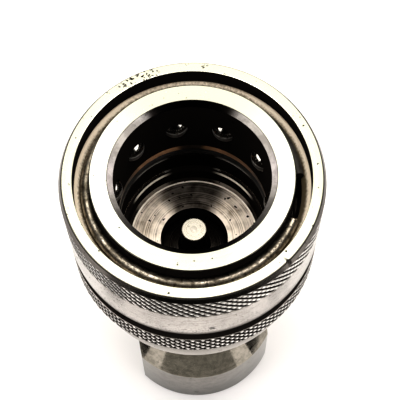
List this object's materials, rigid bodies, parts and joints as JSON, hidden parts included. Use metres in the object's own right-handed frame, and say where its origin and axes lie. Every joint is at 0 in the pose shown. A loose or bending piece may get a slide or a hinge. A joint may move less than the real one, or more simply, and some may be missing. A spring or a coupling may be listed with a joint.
{
  "type": "quick disconnect coupler",
  "caption": "Socket half of a ball-locking hydraulic quick coupler: knurled sprung sleeve, poppet valve, and a threaded rear end with wrench flats.",
  "frame": {"origin": "centre of the rear end's face, which is the base of the whole object", "axes": "+Z along the coupler's axis towards the socket's mouth, +X square to a wrench flat"},
  "size_m": [0.0536, 0.0536, 0.09],
  "materials": {
    "body_steel": "turned, plated",
    "adapter_steel": "turned, plated, dull",
    "sleeve_steel": "turned and knurled, plated",
    "wire_steel": "drawn wire, oiled",
    "spring_steel": "drawn wire",
    "washer_steel": "stamped",
    "black_rubber": "satin, oiled",
    "brown_backup": "satin",
    "poppet_steel": "turned",
    "guide_steel": "machined",
    "white_backup": "satin",
    "ball_steel": "polished"
  },
  "bodies": {
    "coupler_body": {"socket_body": "body_steel", "rear_adapter": "adapter_steel", "sleeve_stop_wire": "wire_steel", "spring_snap_ring": "spring_steel", "plug_seal": "black_rubber", "plug_seal_backup": "brown_backup", "valve_guide": "guide_steel", "adapter_seal": "black_rubber", "adapter_seal_backup": "white_backup"},
    "washer": {"spring_washer": "washer_steel"},
    "sleeve": {"locking_sleeve": "sleeve_steel", "sleeve_spring": "spring_steel"},
    "valve": {"valve_poppet": "poppet_steel", "poppet_seal": "black_rubber", "valve_spring": "spring_steel"},
    "ball_01": {"lock_ball_01": "ball_steel"},
    "ball_02": {"lock_ball_02": "ball_steel"},
    "ball_03": {"lock_ball_03": "ball_steel"},
    "ball_04": {"lock_ball_04": "ball_steel"},
    "ball_05": {"lock_ball_05": "ball_steel"},
    "ball_06": {"lock_ball_06": "ball_steel"},
    "ball_07": {"lock_ball_07": "ball_steel"},
    "ball_08": {"lock_ball_08": "ball_steel"},
    "ball_09": {"lock_ball_09": "ball_steel"},
    "ball_10": {"lock_ball_10": "ball_steel"}
  },
  "joints": [
    {"name": "sleeve_spin", "type": "hinge", "parent": "coupler_body", "child": "washer", "pos_m": [0, 0, 0.0532], "axis": [0, 0, 1], "continuous": true},
    {"name": "sleeve_slide", "type": "slide", "parent": "washer", "child": "sleeve", "axis": [0, 0, -1], "range_m": [0, 0.0045], "stiffness_N_per_m": 5000, "springref_m": -0.008, "deforming": ["sleeve_spring"]},
    {"name": "valve_slide", "type": "slide", "parent": "coupler_body", "child": "valve", "axis": [0, 0, -1], "range_m": [0, 0.0045], "stiffness_N_per_m": 2500, "springref_m": -0.006, "deforming": ["valve_spring"]},
    {"name": "ball_slide_01", "type": "slide", "parent": "coupler_body", "child": "ball_01", "axis": [0.9397, 0.342, 0], "range_m": [0, 0.0013]},
    {"name": "ball_slide_02", "type": "slide", "parent": "coupler_body", "child": "ball_02", "axis": [0.5592, 0.829, 0], "range_m": [0, 0.0013]},
    {"name": "ball_slide_03", "type": "slide", "parent": "coupler_body", "child": "ball_03", "axis": [-0.0349, 0.9994, 0], "range_m": [0, 0.0013]},
    {"name": "ball_slide_04", "type": "slide", "parent": "coupler_body", "child": "ball_04", "axis": [-0.6157, 0.788, 0], "range_m": [0, 0.0013]},
    {"name": "ball_slide_05", "type": "slide", "parent": "coupler_body", "child": "ball_05", "axis": [-0.9613, 0.2756, 0], "range_m": [0, 0.0013]},
    {"name": "ball_slide_06", "type": "slide", "parent": "coupler_body", "child": "ball_06", "axis": [-0.9397, -0.342, 0], "range_m": [0, 0.0013]},
    {"name": "ball_slide_07", "type": "slide", "parent": "coupler_body", "child": "ball_07", "axis": [-0.5592, -0.829, 0], "range_m": [0, 0.0013]},
    {"name": "ball_slide_08", "type": "slide", "parent": "coupler_body", "child": "ball_08", "axis": [0.0349, -0.9994, 0], "range_m": [0, 0.0013]},
    {"name": "ball_slide_09", "type": "slide", "parent": "coupler_body", "child": "ball_09", "axis": [0.6157, -0.788, 0], "range_m": [0, 0.0013]},
    {"name": "ball_slide_10", "type": "slide", "parent": "coupler_body", "child": "ball_10", "axis": [0.9613, -0.2756, 0], "range_m": [0, 0.0013]}
  ],
  "couplings": [
    {"joint": "ball_slide_01", "follows": "sleeve_slide", "ratio": 0.27778},
    {"joint": "ball_slide_02", "follows": "sleeve_slide", "ratio": 0.27778},
    {"joint": "ball_slide_03", "follows": "sleeve_slide", "ratio": 0.27778},
    {"joint": "ball_slide_04", "follows": "sleeve_slide", "ratio": 0.27778},
    {"joint": "ball_slide_05", "follows": "sleeve_slide", "ratio": 0.27778},
    {"joint": "ball_slide_06", "follows": "sleeve_slide", "ratio": 0.27778},
    {"joint": "ball_slide_07", "follows": "sleeve_slide", "ratio": 0.27778},
    {"joint": "ball_slide_08", "follows": "sleeve_slide", "ratio": 0.27778},
    {"joint": "ball_slide_09", "follows": "sleeve_slide", "ratio": 0.27778},
    {"joint": "ball_slide_10", "follows": "sleeve_slide", "ratio": 0.27778}
  ]
}
